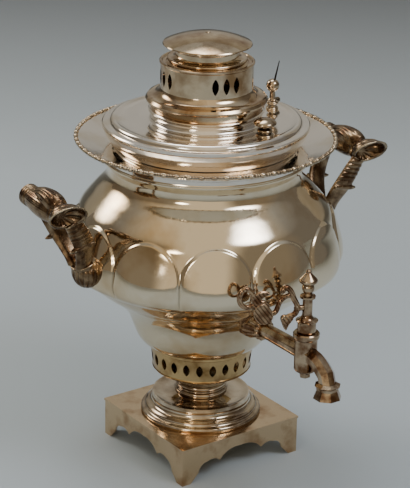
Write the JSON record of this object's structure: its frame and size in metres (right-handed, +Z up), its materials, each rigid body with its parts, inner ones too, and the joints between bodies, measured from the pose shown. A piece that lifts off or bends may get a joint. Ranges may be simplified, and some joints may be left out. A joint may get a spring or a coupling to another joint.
{
  "type": "samovar",
  "caption": "Charcoal-fired table samovar with a lobed belly, pierced air gallery, two side handles, a tap with a scroll key, a lift-off lid, crown and cap.",
  "frame": {"origin": "on the axis of the body at the level the feet stand on", "axes": "+Z up along the body's axis, -Y towards the tap, X along the line through the two handles"},
  "size_m": [0.4316, 0.3873, 0.4765],
  "materials": {
    "silver_plate": "worn silver plate, polished",
    "browned_casting": "cast brass with worn silver plate, browned",
    "golden_brass": "polished brass",
    "tap_metal": "worn silver plate over copper-coloured metal",
    "soot_iron": "heat-darkened",
    "tinned_inside": "tinned"
  },
  "bodies": {
    "base": {"plinth": "silver_plate", "foot_pedestal": "silver_plate", "stem_spool": "silver_plate", "tie_rod": "soot_iron", "tie_nut": "soot_iron", "air_gallery": "golden_brass", "fire_tube": "tinned_inside", "fire_grate": "soot_iron", "body_bowl": "silver_plate", "body_belly": "silver_plate", "body_shoulder": "silver_plate", "drip_dish": "silver_plate", "rim_edge": "silver_plate", "tap_rosette": "tap_metal", "tap_pipe": "tap_metal", "cock_body": "tap_metal", "tap_spout": "tap_metal", "right_handle_root": "browned_casting", "right_front_arm": "browned_casting", "right_rear_arm": "browned_casting", "right_grip": "browned_casting", "left_handle_root": "browned_casting", "left_front_arm": "browned_casting", "left_rear_arm": "browned_casting", "left_grip": "browned_casting"},
    "key": {"tap_plug": "tap_metal", "plug_nut": "tap_metal", "key_post": "tap_metal", "key_lever": "tap_metal", "key_finial": "tap_metal"},
    "lid": {"lid": "silver_plate", "front_lid_knob": "silver_plate", "rear_lid_knob": "silver_plate", "lid_knob_nuts": "tinned_inside", "vent_seat": "silver_plate"},
    "vent": {"vent_valve": "silver_plate", "vent_pin": "silver_plate"},
    "crown": {"chimney_crown": "silver_plate"},
    "cap": {"chimney_cap": "silver_plate"}
  },
  "joints": [
    {"name": "key_turn", "type": "hinge", "parent": "base", "child": "key", "pos_m": [0, -0.1835, 0.18], "axis": [0, 0, 1], "range_deg": [0, 220]},
    {"name": "lid_lift", "type": "slide", "parent": "base", "child": "lid", "axis": [0, 0, 1], "range_m": [0, 0.065]},
    {"name": "vent_lift", "type": "slide", "parent": "lid", "child": "vent", "axis": [0, 0, 1], "range_m": [0, 0.02]},
    {"name": "crown_lift", "type": "slide", "parent": "lid", "child": "crown", "axis": [0, 0, 1], "range_m": [0, 0.03]},
    {"name": "cap_lift", "type": "slide", "parent": "crown", "child": "cap", "axis": [0, 0, 1], "range_m": [0, 0.025]}
  ]
}
